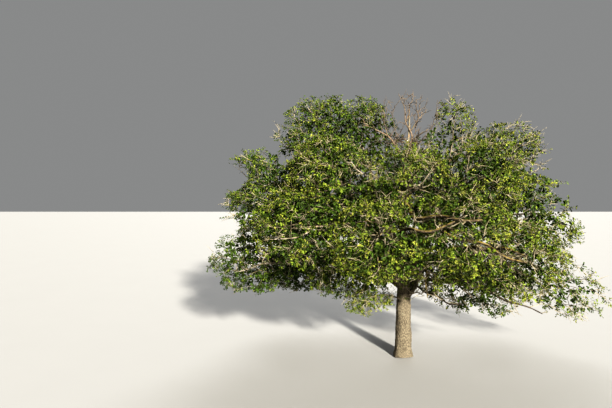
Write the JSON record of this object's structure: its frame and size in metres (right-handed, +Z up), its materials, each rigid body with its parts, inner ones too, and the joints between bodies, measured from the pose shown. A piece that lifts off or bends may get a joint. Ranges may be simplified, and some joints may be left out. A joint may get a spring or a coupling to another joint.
{
  "type": "oak tree",
  "caption": "Broad open-grown oak: stout flared trunk, long low spreading boughs, domed leafy crown and a bare dead top.",
  "frame": {"origin": "middle of the flat cut under the trunk, at ground level", "axes": "+Z up the trunk, +X to the right and +Y away as seen from the picture's side; +X is the crown's longest way and Z its shortest"},
  "size_m": [18.9262, 15.4496, 13.2985],
  "materials": {
    "trunk_bark": "fissured pale grey-beige bark",
    "limb_bark": "rough bark with moss and orange lichen",
    "leaf_green": "satin leaves",
    "leaf_olive": "satin leaves",
    "leaf_dark": "satin leaves",
    "dead_twigs": "weathered bare wood"
  },
  "bodies": {
    "root": {"trunk": "trunk_bark", "leader": "limb_bark", "left_leader": "limb_bark", "right_leader": "limb_bark", "dome_bough": "limb_bark", "left_upper_bough": "limb_bark", "left_inner_bough": "limb_bark", "front_upper_bough": "limb_bark", "right_inner_bough": "limb_bark", "sparse_bough": "limb_bark", "tip_bough": "limb_bark", "back_upper_bough": "limb_bark", "right_bough": "limb_bark", "right_front_bough": "limb_bark", "front_right_bough": "limb_bark", "front_left_bough": "limb_bark", "left_front_bough": "limb_bark", "left_bough": "limb_bark", "back_left_bough": "limb_bark", "back_bough": "limb_bark", "back_right_bough": "limb_bark", "right_low_bough": "limb_bark", "right_far_bough": "limb_bark", "back_right_low_bough": "limb_bark", "back_low_bough": "limb_bark", "back_left_low_bough": "limb_bark", "left_low_bough": "limb_bark", "left_inner_low_bough": "limb_bark", "front_low_bough": "limb_bark", "low_spur": "limb_bark", "dead_top": "dead_twigs", "left_dome": "leaf_olive", "right_hump": "leaf_dark", "back_dome": "leaf_green", "left_hump": "leaf_olive", "left_inner_crown": "leaf_dark", "front_crown": "leaf_green", "right_inner_crown": "leaf_olive", "sparse_top": "leaf_dark", "sparse_middle": "leaf_green", "back_crown": "leaf_olive", "right_crown": "leaf_dark", "right_front_skirt": "leaf_green", "front_right_crown": "leaf_olive", "front_left_crown": "leaf_dark", "left_front_crown": "leaf_green", "left_crown": "leaf_olive", "back_left_crown": "leaf_dark", "back_mid_crown": "leaf_green", "back_right_crown": "leaf_olive", "right_low_skirt": "leaf_dark", "right_far_skirt": "leaf_green", "back_right_skirt": "leaf_olive", "back_skirt": "leaf_dark", "back_left_skirt": "leaf_green", "left_skirt": "leaf_olive", "left_inner_skirt": "leaf_dark", "front_skirt": "leaf_green", "low_spray": "leaf_olive"}
  },
  "joints": []
}
